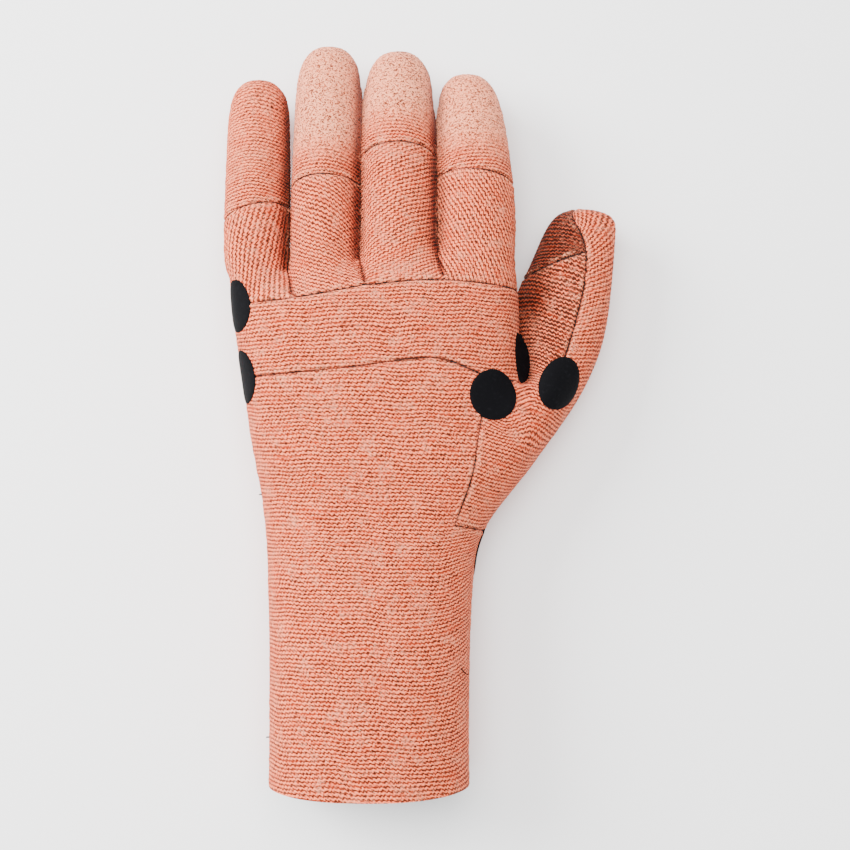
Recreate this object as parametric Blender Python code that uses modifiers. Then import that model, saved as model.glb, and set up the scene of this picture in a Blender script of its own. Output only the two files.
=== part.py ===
"""A five-finger neoprene diving glove for the left hand, lying on its palm side, back of the hand up.

Metres, +Z up. The fingers point along +Y and the thumb lies on the +X side. The glove is sewn from
panels cut out of one sheet, so every panel here is a closed wall of the same thickness, and thin
round patches cover the places where several seams meet.

The form is one coarse cage of quads, smoothed by Subdivision Surface. Each face of the cage knows
its panel. Every smoothed panel then gets its wall, measured square to the whole glove's surface, so
that neighbours meet edge to edge with the seam gap between them.
"""

import math

import bmesh
import bpy
from mathutils import Vector
from mathutils.bvhtree import BVHTree

# Sheet, seams and patches
WALL = 0.004
SEAM_GAP = 0.0003
SHARPEST_CORNER = 0.4
PATCH_THICKNESS = 0.0008
PATCH_CLEARANCE = 0.0006
PATCH_RINGS = 4
PATCH_SIDES = 16

# Cuff and hand
HEM_WIDTH = 0.076
HEM_HEIGHT = 0.056
HEM_DIP = 0.006
CUFF_LENGTH = 0.0962
WRIST_WIDTH = 0.0815
WRIST_HEIGHT = 0.050
HAND_LENGTH = 0.089
HAND_HEIGHT = 0.053
HAND_ARCH = 2.5
PALM_FLATNESS = 1.35

# Fingers: the crevice is the air between two of them
CREVICE = 0.0006
LITTLE_WIDTH = 0.0260
RING_WIDTH = 0.0271
MIDDLE_WIDTH = 0.0290
INDEX_WIDTH = 0.0308
LITTLE_LENGTH = 0.0842
RING_LENGTH = 0.0969
MIDDLE_LENGTH = 0.0904
INDEX_LENGTH = 0.0804
FINGER_THICKNESS = 0.0285
FINGER_TIP_THICKNESS = 0.026
SEAM_ARC = 0.0015
SEAM_ARC_MIDDLE = 0.4
WEB_REACH = 0.0015
WEB_BULGE = 0.42
ROOT_INSET = 0.0042

# Thumb
THUMB_LENGTH = 0.068
THUMB_REACH = 0.037
THUMB_WIDTH = 0.030
THUMB_THICKNESS = 0.031
THUMB_HEIGHT = 0.0225

# Cage rows of the cuff and the hand. "along" is a share of CUFF_LENGTH below the wrist and of
# HAND_LENGTH above it. "spread" goes from the wrist's width to the hem's (cuff) or to the four
# fingers' (hand), and "rise" does the same for the height. "lift" is the underside's height and
# "side" that of the widest point, both as shares of HAND_HEIGHT. "centre" is the shift of the
# row's middle towards the thumb, as a share of HAND_LENGTH.
ROWS = [
    # name, along, spread, rise, lift, side, centre
    ("hem", -1.000, 1.00, 1.00, 0.00, 0.50, 0.004),
    ("hem_side", -0.920, 1.03, 1.01, 0.00, 0.50, 0.004),
    ("cuff_low", -0.700, 1.00, 0.97, 0.00, 0.50, 0.004),
    ("cuff_mid", -0.470, 0.90, 0.78, 0.00, 0.49, 0.004),
    ("cuff_top", -0.230, 0.50, 0.40, 0.00, 0.48, 0.007),
    ("wrist", 0.000, 0.00, 0.00, 0.00, 0.47, 0.011),
    ("heel", 0.165, 0.62, 0.18, 0.00, 0.46, 0.098),
    ("thenar_low", 0.310, 0.56, 0.36, 0.00, 0.46, 0.054),
    ("thenar", 0.460, 0.65, 0.60, 0.00, 0.46, 0.047),
    ("hand_seam", 0.632, 0.78, 0.90, 0.02, 0.47, 0.051),
    ("band", 0.820, 0.84, 1.00, 0.08, 0.53, 0.037),
    ("knuckle_seam", 1.000, 0.90, 0.94, 0.20, 0.57, 0.024),
]
WRIST_ROW = 5
THUMB_FIRST_ROW = 6
HAND_SEAM_ROW = 9
BAND_ROW = 10
KNUCKLE_ROW = 11
ROOT_ROW = 12

# Cage columns across the back of the hand, from the little finger's side to the thumb's. "finger"
# and "place" say where a column runs on the fingers, as a share of that finger's width. The other
# columns of the table are shifts towards the fingertips, as shares of HAND_LENGTH.
COLUMNS = [
    # name, finger, place, hand seam, knuckle seam, root
    ("D0", 0, 0.146, -0.018, -0.070, 0.060),
    ("D1", 0, 0.500, -0.020, -0.060, 0.052),
    ("D2", 0, 1.000, -0.016, -0.047, 0.026),
    ("D3", 1, 0.500, -0.002, -0.018, 0.060),
    ("D4", 1, 1.000, 0.021, 0.014, 0.070),
    ("D5", 2, 0.500, 0.052, 0.024, 0.110),
    ("D6", 2, 1.000, 0.080, 0.034, 0.125),
    ("D7", 3, 0.500, -0.090, 0.034, 0.125),
    ("D8", 3, 0.854, -0.035, 0.024, 0.110),
]
CUFF_SHARES = (0.035, 0.130, 0.255, 0.380, 0.505, 0.630, 0.755, 0.885, 0.965)

# The two columns beside the thumb, row by row: their shares across the row, the arch's height
# over the gusset's edge, the roundness of the palm under it, and the shift of the gusset's edge
# towards the fingertips, as a share of HAND_LENGTH.
GUSSET = [
    # row, gusset seam, gusset edge, edge height, palm edge, shift
    (5, 0.875, 0.950, 0.52, 0.62, -0.035),
    (6, 0.776, 0.935, 0.62, 0.75, 0.0),
    (7, 0.834, 0.990, 0.66, 0.90, 0.0),
    (8, 0.873, 0.995, 0.58, 0.90, 0.0),
    (9, 0.894, 0.965, 0.46, 0.62, 0.0),
    (10, 0.900, 0.968, 0.48, 0.30, 0.0),
    (11, 0.895, 0.960, 0.48, 0.30, 0.0),
]

# Fingers, from the little finger to the index finger. "seam" is the share of the length where the
# knuckle panel meets the tip panel, and "tilt" the rise of that seam towards the thumb. "root" and
# "tip" are the middle's height as shares of HAND_HEIGHT. "lean" is the shift of the tip towards the
# thumb and "taper" the width that is lost by the dome, both as shares of the finger's width.
FINGERS = [
    # name, width, length, seam, tilt, root, tip, lean, taper
    ("little", LITTLE_WIDTH, LITTLE_LENGTH, 0.286, 0.32, 0.54, 0.300, -0.020, 0.00),
    ("ring", RING_WIDTH, RING_LENGTH, 0.357, 0.00, 0.64, 0.320, 0.020, 0.00),
    ("middle", MIDDLE_WIDTH, MIDDLE_LENGTH, 0.494, 0.00, 0.68, 0.320, -0.020, 0.02),
    ("index", INDEX_WIDTH, INDEX_LENGTH, 0.398, -0.16, 0.62, 0.300, -0.130, 0.12),
]
FINGER_CURL = 1.8

# Finger rings between the root and the seam, as shares of that stretch, then one half way from
# the seam to the domed tip, then those of the dome, as shares of the finger's half width from
# its end. The second number is the ring's share of the finger's width.
LOWER_STATIONS = ((0.24, 0.98), (0.62, 1.00), (1.00, 1.00))
TIP_STATION = 0.50
DOME_STATIONS = ((1.05, 0.97), (0.50, 0.86), (0.14, 0.56))
FINGER_ANGLES = (135, 90, 45, 0, -45, -90, -135, 180)

# Thumb rings from the palm outwards. "out" is a share of THUMB_REACH from the hand's side and "up"
# one of THUMB_LENGTH from the web. "turn" is the ring's heading from straight out towards the
# wrist, "roll" tips its outer end up and "twist" turns its corners about the thumb, in degrees.
# "width" and "thick" are shares of the thumb's width and thickness, and "height" is the ring's
# middle as a share of THUMB_HEIGHT.
THUMB_RINGS = [
    # out, up, turn, width, thick, height, roll, twist
    (0.20, -0.13, 68, 0.79, 1.26, 0.96, 0, 26),
    (0.30, 0.08, 40, 1.03, 1.12, 0.90, 12, 42),
    (0.40, 0.31, 17, 1.28, 1.00, 0.82, 24, 51),
    (0.42, 0.51, 2, 1.36, 0.94, 0.80, 25, 60),
    (0.50, 0.74, -25, 1.44, 0.92, 0.78, 20, 54),
    (0.63, 0.93, -9, 1.10, 0.87, 0.76, 10, 18),
    (0.65, 1.03, 0, 0.76, 0.60, 0.74, 0, -12),
]
THUMB_END = (0.63, 1.09, 0.74)
THUMB_SEAM_RING = 4
THUMB_SIDES = 10
THUMB_INNER = (3, 7)

# Patches: the two cage corners that each lies between, how far it is from the first, its shift
# towards the fingertips and its radius.
PATCHES = [
    # name, first corner, second corner, share, shift, radius
    ("patch_knuckle_edge", (11, "SL"), (11, "D0"), 0.78, -0.0008, 0.0101),
    ("patch_hand_edge", (9, "SL"), (9, "D0"), 0.69, 0.0005, 0.0101),
    ("patch_thumb_root", (9, "D7"), (9, "D6"), 0.02, -0.0009, 0.0098),
    ("patch_thumb_crotch", (9, "SR"), (10, "SR"), 0.57, 0.0, 0.0098),
    ("patch_thumb_seam", ("thumb", 0, 3), ("thumb", 1, 3), 0.74, -0.0005, 0.0108),
    ("patch_wrist_edge", (5, "P8"), (4, "SR"), 0.46, 0.0006, 0.0098),
]

RING_KEYS = [c[0] for c in COLUMNS] + ["SR"] + [f"P{i}" for i in range(8, -1, -1)] + ["SL"]

PINK = (0.86, 0.42, 0.30)
BLACK = (0.015, 0.015, 0.017)


def clear_scene():
    for obj in list(bpy.data.objects):
        bpy.data.objects.remove(obj, do_unlink=True)


def new_material(name, colour, roughness):
    material = bpy.data.materials.new(name)
    material.use_nodes = True
    shader = material.node_tree.nodes["Principled BSDF"]
    shader.inputs["Base Color"].default_value = (*colour, 1.0)
    shader.inputs["Roughness"].default_value = roughness
    shader.inputs["Metallic"].default_value = 0.0
    return material


def mix(a, b, share):
    return a + (b - a) * share


def cage_swell(corners):
    """How much wider than the smoothed ring its cage ring has to be."""
    return 3 / (2 + math.cos(2 * math.pi / corners))


def crevice_lines():
    """The x of the hand's two edges and of the three crevices between the fingers."""
    lines = [0.0]
    for finger in FINGERS:
        lines.append(lines[-1] + finger[1] + CREVICE)
    middle = lines[-1] / 2
    return [x - middle for x in lines]


def column_share(column):
    """Where a column crosses the knuckles, as a share of the hand's width."""
    lines = crevice_lines()
    _, finger, place, *_ = COLUMNS[column]
    x = mix(lines[finger], lines[finger + 1], place)
    return (x - lines[0]) / (lines[-1] - lines[0])


def row_sizes(row):
    """y, middle x, width, height, underside and side height of a cage row."""
    _, along, spread, rise, lift, side, centre = ROWS[row]
    lines = crevice_lines()
    if along < 0:
        y = along * CUFF_LENGTH
        width = mix(WRIST_WIDTH, HEM_WIDTH, spread)
        height = mix(WRIST_HEIGHT, HEM_HEIGHT, rise)
    else:
        y = along * HAND_LENGTH
        width = mix(WRIST_WIDTH, lines[-1] - lines[0], spread)
        height = mix(WRIST_HEIGHT, HAND_HEIGHT, rise)
    width /= 1 - 2 / 3 * CUFF_SHARES[0]
    return y, centre * HAND_LENGTH, width, height, lift * HAND_HEIGHT, side * HAND_HEIGHT


def share_in_row(row, column):
    """How far across the row a column lies: evenly in the cuff, over the fingers at the knuckles."""
    for gusset_row, seam, edge, *_ in GUSSET:
        if row == gusset_row and column >= 7:
            return (seam, edge)[column - 7]
    along = ROWS[row][1]
    return mix(CUFF_SHARES[column], column_share(column), min(1, max(0, along)))


def arch(share):
    """Height of a rounded arch over its width, 1 in the middle and 0 at both ends."""
    off = min(1, abs(2 * share - 1))
    return (1 - off**HAND_ARCH) ** (1 / HAND_ARCH)


def row_points(row):
    """The cage corners of one row of the cuff and the hand, by key."""
    y, centre, width, height, under, side = row_sizes(row)
    left = centre - width / 2
    beside_thumb = {number: values for number, _, _, *values in GUSSET}
    points = {}
    for column, (name, _, _, hand_seam, knuckle_seam, _) in enumerate(COLUMNS):
        share = share_in_row(row, column)
        shifts = {
            HAND_SEAM_ROW: hand_seam,
            BAND_ROW: (hand_seam + knuckle_seam) / 2,
            KNUCKLE_ROW: knuckle_seam,
        }
        above = arch(share)
        below = min(1, PALM_FLATNESS * above)
        edge_shift = 0
        if column == 8 and row in beside_thumb:
            above, below, edge_shift = beside_thumb[row]
        dip = HEM_DIP * above if row == 0 else 0
        x = left + width * share
        back_y = y + (shifts.get(row, 0) + edge_shift) * HAND_LENGTH - dip
        points[name] = Vector((x, back_y, side + (height - side) * above))
        points["P" + name[1]] = Vector((x, y, side - (side - under) * below))
    points["SL"] = Vector((left, points["D0"].y, side))
    points["SR"] = Vector((left + width, points["D8"].y, side))
    return points


def root_points():
    """The row where the fingers begin: the hand's ring and a web corner in each crevice."""
    lines = crevice_lines()
    y = row_sizes(KNUCKLE_ROW)[0]
    half = FINGER_THICKNESS / 2
    points = {}
    for name, finger, place, *_, root in COLUMNS:
        here = FINGERS[finger][5] * HAND_HEIGHT
        beside = FINGERS[min(finger + 1, 3)][5] * HAND_HEIGHT
        crevice = place == 1.0
        middle = (here + beside) / 2 if crevice else here
        bulge = WEB_BULGE if crevice else math.sin(math.acos(abs(2 * place - 1)))
        x = mix(lines[finger], lines[finger + 1], place)
        top = y + root * HAND_LENGTH
        points[name] = Vector((x, top, middle + half * bulge))
        points["P" + name[1]] = Vector((x, top, middle - half * bulge))
        if crevice:
            points["W" + name[1]] = Vector((x, top + WEB_REACH, middle))
    for name, x, finger, corner in (
        ("SL", lines[0] + ROOT_INSET, FINGERS[0], "D0"),
        ("SR", lines[-1], FINGERS[-1], "D8"),
    ):
        points[name] = Vector((x, points[corner].y, finger[5] * HAND_HEIGHT))
    return points


def finger_stations(number):
    """Where a finger's rings are, as shares of its length, with their shares of its width."""
    _, width, length, seam, *_, taper = FINGERS[number]
    half_width = width / 2 / length
    dome_start = 1 - DOME_STATIONS[0][0] * half_width
    stations = [(seam * t, share) for t, share in LOWER_STATIONS]
    stations.append((mix(seam, dome_start, TIP_STATION), 1 - taper / 2))
    return stations + [(1 - t * half_width, share * (1 - taper)) for t, share in DOME_STATIONS]


def finger_rings(number, root):
    """The rings of one finger above its root, each a list of eight corners, and its tip point."""
    _, width, length, _, tilt, root_height, tip_height, lean, _ = FINGERS[number]
    lines = crevice_lines()
    swell = cage_swell(len(FINGER_ANGLES))
    corners = [root["D" + str(c)] for c in range(2 * number, 2 * number + 3)]
    start_y = sum(c.y for c in corners) / 3
    middle_x = (lines[number] + lines[number + 1]) / 2
    top, bottom = root_height * HAND_HEIGHT, tip_height * HAND_HEIGHT

    def centre_at(t):
        x = middle_x + lean * width * t * t
        return Vector((x, start_y + t * length, mix(top, bottom, t**FINGER_CURL)))

    rings = []
    for index, (t, share) in enumerate(finger_stations(number)):
        half_width = width / 2 * share
        slope = FINGER_CURL * (bottom - top) / length * t ** (FINGER_CURL - 1)
        along = Vector((0, 1, slope)).normalized()
        up = Vector((1, 0, 0)).cross(along)
        half_thick = mix(FINGER_THICKNESS, FINGER_TIP_THICKNESS, t) / 2 * share
        ring = []
        for angle in FINGER_ANGLES:
            across = math.cos(math.radians(angle)) * half_width * swell
            rise = math.sin(math.radians(angle)) * half_thick * swell
            corner = centre_at(t) + Vector((across, 0, 0)) + up * rise
            if index == len(LOWER_STATIONS) - 1:
                corner += along * (SEAM_ARC * (rise / half_thick - SEAM_ARC_MIDDLE) + tilt * across)
            ring.append(corner)
        rings.append(ring)
    return rings, centre_at(1.0)


def thumb_rings(rows):
    """The rings of the thumb outside the hand, each a list of ten corners, and its tip point."""
    web = rows[HAND_SEAM_ROW]["SR"]
    swell = cage_swell(THUMB_SIDES)
    rings = []
    for out, up, turn, width, thick, height, roll, twist in THUMB_RINGS:
        heading, lean = math.radians(turn), math.radians(roll)
        flat_out = Vector((math.cos(heading), -math.sin(heading), 0))
        outward = flat_out * math.cos(lean) + Vector((0, 0, math.sin(lean)))
        raised = Vector((0, 0, math.cos(lean))) - flat_out * math.sin(lean)
        centre = Vector((web.x + out * THUMB_REACH, web.y + up * THUMB_LENGTH, height * THUMB_HEIGHT))
        ring = []
        for corner in range(THUMB_SIDES):
            angle = math.radians(360 / THUMB_SIDES * corner - twist)
            across = outward * math.cos(angle) * width * THUMB_WIDTH / 2
            rise = raised * math.sin(angle) * thick * THUMB_THICKNESS / 2
            ring.append(centre + (across + rise) * swell)
        rings.append(ring)
    out, up, height = THUMB_END
    return rings, Vector((web.x + out * THUMB_REACH, web.y + up * THUMB_LENGTH, height * THUMB_HEIGHT))


class Cage:
    """Named corners and quads, each quad with the panel that it belongs to."""

    def __init__(self):
        self.points = []
        self.index = {}
        self.quads = []
        self.panels = []

    def add(self, key, point):
        self.index[key] = len(self.points)
        self.points.append(point)

    def quad(self, keys, panel):
        self.quads.append([self.index[k] for k in keys])
        self.panels.append(panel)


def panel_of_hand(row, near, far):
    """The panel of the hand quad above a row, between two neighbouring keys of the ring."""
    back = near[0] == "D" or (near, far) == ("SL", "D0")
    gusset = (near, far) in (("D7", "D8"), ("D8", "SR"), ("SR", "P8"))
    if gusset and WRIST_ROW <= row < HAND_SEAM_ROW:
        return "thumb_outer"
    if not back:
        return "palm"
    if row < HAND_SEAM_ROW:
        return "back_cuff"
    if row < KNUCKLE_ROW:
        return "knuckle_band"
    column = 0 if near == "SL" else int(near[1])
    return FINGERS[min(column // 2, 3)][0] + "_knuckle"


def add_hand(cage):
    rows = [row_points(r) for r in range(len(ROWS))] + [root_points()]
    for number, row in enumerate(rows):
        for key, point in row.items():
            cage.add((number, key), point)
    for number in range(len(rows) - 1):
        for near, far in zip(RING_KEYS, RING_KEYS[1:] + RING_KEYS[:1]):
            in_hole = THUMB_FIRST_ROW <= number < HAND_SEAM_ROW
            if in_hole and (near, far) in (("D8", "SR"), ("SR", "P8")):
                continue
            keys = [(number, near), (number, far), (number + 1, far), (number + 1, near)]
            cage.quad(keys, panel_of_hand(number, near, far))
    return rows


def add_tube(cage, root, label, rings, end, panel_of):
    """Walls from a ring of keys through the rings to a cap around the end point."""
    below = root
    count = len(root)
    for number, ring in enumerate(rings):
        keys = [(label, number, corner) for corner in range(count)]
        for key, point in zip(keys, ring):
            cage.add(key, point)
        for corner in range(count):
            after = (corner + 1) % count
            quad = [below[corner], below[after], keys[after], keys[corner]]
            cage.quad(quad, panel_of(number, corner))
        below = keys
    cage.add((label, "end"), end)
    for corner in range(1, count, 2):
        a, b, c = (below[(corner + step) % count] for step in range(3))
        cage.quad([a, b, c, (label, "end")], panel_of(len(rings), corner))


def add_finger(cage, number, root):
    name = FINGERS[number][0]
    left, middle, right = (f"D{c}" for c in range(2 * number, 2 * number + 3))
    inner = "SL" if number == 0 else "W" + left[1]
    outer = "SR" if number == 3 else "W" + right[1]
    names = [left, middle, right, outer, "P" + right[1], "P" + middle[1], "P" + left[1], inner]
    keys = [(ROOT_ROW, key) for key in names]
    rings, end = finger_rings(number, root)

    def panel_of(ring, corner):
        if corner in (0, 1, 2, 7):
            return name + ("_knuckle" if ring < len(LOWER_STATIONS) else "_tip")
        return name + "_palm_side"

    add_tube(cage, keys, name, rings, end, panel_of)


def add_thumb(cage, rows):
    first, last = THUMB_FIRST_ROW, HAND_SEAM_ROW
    keys = [(first, "SR")] + [(row, "D8") for row in range(first, last + 1)]
    keys += [(last, "SR")] + [(row, "P8") for row in range(last, first - 1, -1)]
    rings, end = thumb_rings(rows)

    def panel_of(ring, corner):
        if THUMB_INNER[0] <= corner < THUMB_INNER[1]:
            return "thumb_inner" if ring <= THUMB_SEAM_RING else "thumb_tip"
        return "thumb_outer"

    add_tube(cage, keys, "thumb", rings, end, panel_of)


def smoothed_skin(cage):
    """The glove's outer surface: the cage after one Subdivision Surface, kept above the floor."""
    used = sorted({corner for quad in cage.quads for corner in quad})
    place = {corner: i for i, corner in enumerate(used)}
    names = sorted(set(cage.panels))
    mesh = bpy.data.meshes.new("glove_cage")
    mesh.from_pydata(
        [cage.points[c] for c in used], [], [[place[c] for c in quad] for quad in cage.quads]
    )
    bm = bmesh.new()
    bm.from_mesh(mesh)
    bm.faces.ensure_lookup_table()
    for face, panel in zip(bm.faces, cage.panels):
        face.material_index = names.index(panel)
    bmesh.ops.recalc_face_normals(bm, faces=bm.faces)
    bm.to_mesh(mesh)
    bm.free()
    guide = bpy.data.objects.new("glove_cage", mesh)
    bpy.context.scene.collection.objects.link(guide)
    smooth = guide.modifiers.new("smooth", "SUBSURF")
    smooth.levels = 1
    smooth.render_levels = 1
    bpy.context.view_layer.update()
    skin = bpy.data.meshes.new_from_object(guide.evaluated_get(bpy.context.evaluated_depsgraph_get()))
    bpy.data.objects.remove(guide)
    for vertex in skin.vertices:
        vertex.co.z = max(0.0, vertex.co.z)
    low = [min(v.co[axis] for v in skin.vertices) for axis in range(2)]
    high = [max(v.co[axis] for v in skin.vertices) for axis in range(2)]
    middle = Vector(((low[0] + high[0]) / 2, (low[1] + high[1]) / 2, 0))
    for vertex in skin.vertices:
        vertex.co -= middle
    skin.update()
    return skin, names, middle


def edge_pairs(polygon):
    return zip(polygon, polygon[1:] + polygon[:1])


def edge_counts(polygons):
    counts = {}
    for polygon in polygons:
        for a, b in edge_pairs(polygon):
            key = (min(a, b), max(a, b))
            counts[key] = counts.get(key, 0) + 1
    return counts


def seam_shifts(skin, polygons, open_edges):
    """How far each corner on a panel's sewn edge steps back into the panel, for the seam gap."""
    counts = edge_counts(polygons)
    inward = {}
    for polygon in polygons:
        points = [skin.vertices[v].co for v in polygon]
        normal = (points[2] - points[0]).cross(points[3] - points[1]).normalized()
        for a, b in edge_pairs(polygon):
            key = (min(a, b), max(a, b))
            if counts[key] == 2:
                continue
            step = Vector((0, 0, 0))
            if key not in open_edges:
                step = normal.cross(skin.vertices[b].co - skin.vertices[a].co).normalized()
            for vertex in (a, b):
                inward.setdefault(vertex, []).append(step)
    shifts = {}
    for vertex, steps in inward.items():
        total = sum(steps, Vector((0, 0, 0)))
        open_end = any(step.length == 0 for step in steps)
        turn = 0 if open_end else steps[0].dot(steps[-1])
        shifts[vertex] = total / max(SHARPEST_CORNER, 1 + turn) * SEAM_GAP / 2
    return shifts


def cut_edge(a, b, depth, first_is_lower):
    """The cut edge between two outer corners and the inner ones, split alike on both sides of a seam."""
    if first_is_lower:
        return [[b, a, b + depth], [a, a + depth, b + depth]]
    return [[b, a, a + depth], [b, a + depth, b + depth]]


def wall_of_panel(name, skin, polygons, open_edges):
    """A panel's closed wall: its outer face, the same face one wall further in, and the cut edge."""
    shifts = seam_shifts(skin, polygons, open_edges)
    used = sorted({v for polygon in polygons for v in polygon})
    place = {v: i for i, v in enumerate(used)}
    still = Vector((0, 0, 0))
    outer = [skin.vertices[v].co + shifts.get(v, still) for v in used]
    inner = [p - skin.vertices[v].normal * WALL for p, v in zip(outer, used)]
    depth = len(used)
    faces = [[place[v] for v in polygon] for polygon in polygons]
    faces += [[place[v] + depth for v in reversed(polygon)] for polygon in polygons]
    counts = edge_counts(polygons)
    for polygon in polygons:
        for a, b in edge_pairs(polygon):
            if counts[(min(a, b), max(a, b))] == 1:
                faces += cut_edge(place[a], place[b], depth, a < b)
    mesh = bpy.data.meshes.new(name)
    mesh.from_pydata(outer + inner, [], faces)
    mesh.update()
    return bpy.data.objects.new(name, mesh)


def build_panels(skin, names, collection, material):
    every = [list(polygon.vertices) for polygon in skin.polygons]
    open_edges = {edge for edge, count in edge_counts(every).items() if count == 1}
    for number, name in enumerate(names):
        polygons = [list(p.vertices) for p in skin.polygons if p.material_index == number]
        panel = wall_of_panel(name, skin, polygons, open_edges)
        panel.data.materials.append(material)
        panel.data.shade_smooth()
        panel.data.set_sharp_from_angle(angle=math.radians(40))
        collection.objects.link(panel)


def disc_mesh(name, size):
    """A flat round patch with rings of quads, small enough to bend over the glove."""
    bm = bmesh.new()
    centre = bm.verts.new((0, 0, 0))
    rings = []
    for ring in range(1, PATCH_RINGS + 1):
        radius = size * ring / PATCH_RINGS
        turns = [2 * math.pi * side / PATCH_SIDES for side in range(PATCH_SIDES)]
        rings.append([bm.verts.new((radius * math.cos(a), radius * math.sin(a), 0)) for a in turns])
    for side in range(PATCH_SIDES):
        after = (side + 1) % PATCH_SIDES
        bm.faces.new((centre, rings[0][side], rings[0][after]))
        for inside, outside in zip(rings, rings[1:]):
            bm.faces.new((inside[side], outside[side], outside[after], inside[after]))
    mesh = bpy.data.meshes.new(name)
    bm.to_mesh(mesh)
    bm.free()
    return mesh


def build_patches(skin, cage, middle, collection, material):
    """Round patches laid on the skin, each square to the surface at its own middle."""
    guide = bpy.data.objects.new("glove_skin", skin)
    guide.hide_render = True
    guide.display_type = "WIRE"
    collection.objects.link(guide)
    tree = BVHTree.FromPolygons(
        [v.co for v in skin.vertices], [list(p.vertices) for p in skin.polygons]
    )
    for name, first, second, share, shift, radius in PATCHES:
        a, b = (cage.points[cage.index[key]] for key in (first, second))
        aim = a.lerp(b, share) + Vector((0, shift, 0)) - middle
        spot, normal, *_ = tree.find_nearest(aim)
        patch = bpy.data.objects.new(name, disc_mesh(name, radius))
        patch.data.materials.append(material)
        patch.location = spot
        patch.rotation_euler = normal.to_track_quat("Z", "Y").to_euler()
        wrap = patch.modifiers.new("lie_on_glove", "SHRINKWRAP")
        wrap.target = guide
        wrap.wrap_method = "NEAREST_SURFACEPOINT"
        wrap.wrap_mode = "ABOVE_SURFACE"
        wrap.offset = PATCH_CLEARANCE
        wall = patch.modifiers.new("thickness", "SOLIDIFY")
        wall.thickness = PATCH_THICKNESS
        wall.offset = 1.0
        collection.objects.link(patch)


def main():
    clear_scene()
    glove = bpy.data.collections.new("diving_glove")
    bpy.context.scene.collection.children.link(glove)
    cage = Cage()
    rows = add_hand(cage)
    for number in range(len(FINGERS)):
        add_finger(cage, number, rows[ROOT_ROW])
    add_thumb(cage, rows)
    skin, names, middle = smoothed_skin(cage)
    build_panels(skin, names, glove, new_material("knit_faced_neoprene", PINK, 0.9))
    build_patches(skin, cage, middle, glove, new_material("patch_tape", BLACK, 0.6))


main()
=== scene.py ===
# A neoprene diving glove: knitted face on thick foam rubber, sewn from panels, with round tape patches
# over the ends of the seams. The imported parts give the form, and this script gives them their looks.
import math

import bmesh
import bpy
import numpy as np
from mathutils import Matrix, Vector
from mathutils.bvhtree import BVHTree
from mathutils.kdtree import KDTree


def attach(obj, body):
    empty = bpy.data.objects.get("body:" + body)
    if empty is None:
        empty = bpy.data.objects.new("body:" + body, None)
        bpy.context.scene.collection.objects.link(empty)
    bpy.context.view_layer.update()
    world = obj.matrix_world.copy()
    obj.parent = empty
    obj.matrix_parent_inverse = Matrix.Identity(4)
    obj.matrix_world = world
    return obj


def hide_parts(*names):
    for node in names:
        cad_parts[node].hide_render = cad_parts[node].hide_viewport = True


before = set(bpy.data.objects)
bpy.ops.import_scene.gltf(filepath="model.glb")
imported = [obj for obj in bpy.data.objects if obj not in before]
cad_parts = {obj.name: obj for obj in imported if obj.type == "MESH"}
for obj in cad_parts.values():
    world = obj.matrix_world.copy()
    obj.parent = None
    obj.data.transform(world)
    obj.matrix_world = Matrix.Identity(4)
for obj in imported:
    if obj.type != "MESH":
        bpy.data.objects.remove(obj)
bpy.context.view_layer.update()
print("frame loaded:", len(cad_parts), "nodes")

# The knit of each panel. grain tilts its rows in degrees, pitch is the width of a row, loose is how
# much the rows dissolve into a speckled plush, and fine is how closely the mesh follows the rows.
# open is how far the grooves between the rows darken: painted shade of the hand on the thumb's panels, on top
# of their stronger knit contrast. What a panel leaves out is in usualCut.
panelCuts = {
    "back_cuff": {"grain": 0},
    "palm": {"grain": 0, "fine": 0.62},
    "knuckle_band": {"grain": 3},
    "little_knuckle": {"grain": 86, "pitch": 0.00200},
    "ring_knuckle": {"grain": -22},
    "middle_knuckle": {"grain": 28, "pitch": 0.00155},
    "index_knuckle": {"grain": -58, "pitch": 0.00155},
    "little_tip": {"grain": 2, "pitch": 0.00140, "loose": 0.1},
    "ring_tip": {"grain": 0, "pitch": 0.00160, "loose": 1.0},
    "middle_tip": {"grain": 0, "pitch": 0.00160, "loose": 1.0},
    "index_tip": {"grain": 8, "pitch": 0.00160, "loose": 0.9},
    "little_palm_side": {"grain": 0, "fine": 0.8},
    "ring_palm_side": {"grain": 0, "fine": 0.8},
    "middle_palm_side": {"grain": 0, "fine": 0.8},
    "index_palm_side": {"grain": 0, "fine": 0.8},
    "thumb_outer": {"grain": 0, "pitch": 0.00155},
    "thumb_inner": {"grain": -28, "pitch": 0.00155, "open": 1.2},
    "thumb_tip": {"grain": -20, "pitch": 0.00155, "open": 2.0},
}
usualCut = {"pitch": 0.00150, "loose": 0.0, "fine": 1.0, "open": 0.0}
panelCuts = {name: {**usualCut, **own} for name, own in panelCuts.items()}

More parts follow.
